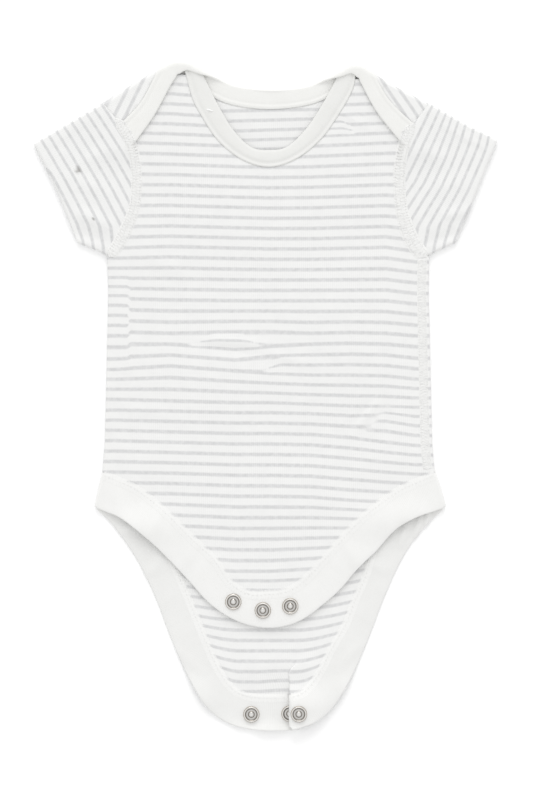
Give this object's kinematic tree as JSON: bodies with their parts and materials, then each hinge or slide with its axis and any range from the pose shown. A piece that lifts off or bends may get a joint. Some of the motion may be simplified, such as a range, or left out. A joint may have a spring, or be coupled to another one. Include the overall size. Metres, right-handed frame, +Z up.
{
  "type": "baby bodysuit",
  "caption": "Short-sleeved baby bodysuit laid flat, with envelope shoulders, bound neck and leg openings, fine cross stripes and an unfastened crotch with ring snaps.",
  "frame": {"origin": "on the floor under the middle of the garment's bounding box", "axes": "+Z up, away from the floor that the back lies on; +Y from the crotch to the shoulders; +X to the right of a viewer who looks down on the front"},
  "size_m": [0.278, 0.4007, 0.0076],
  "materials": {
    "striped_knit": "white cotton knit with fine pale grey cross stripes, matt",
    "white_binding": "plain white cotton knit, folded double, matt",
    "ring_snap": "satin nickel plate, warm at the edges"
  },
  "bodies": {
    "root": {"back_panel": "striped_knit", "front_panel": "striped_knit", "sleeve_left": "striped_knit", "sleeve_right": "striped_knit", "neck_binding_back": "white_binding", "neck_binding_front": "white_binding", "leg_binding_back": "white_binding", "leg_binding_front": "white_binding", "snap_back_1": "ring_snap", "snap_back_2": "ring_snap", "snap_back_3": "ring_snap", "snap_front_1": "ring_snap", "snap_front_2": "ring_snap", "snap_front_3": "ring_snap"}
  },
  "joints": []
}
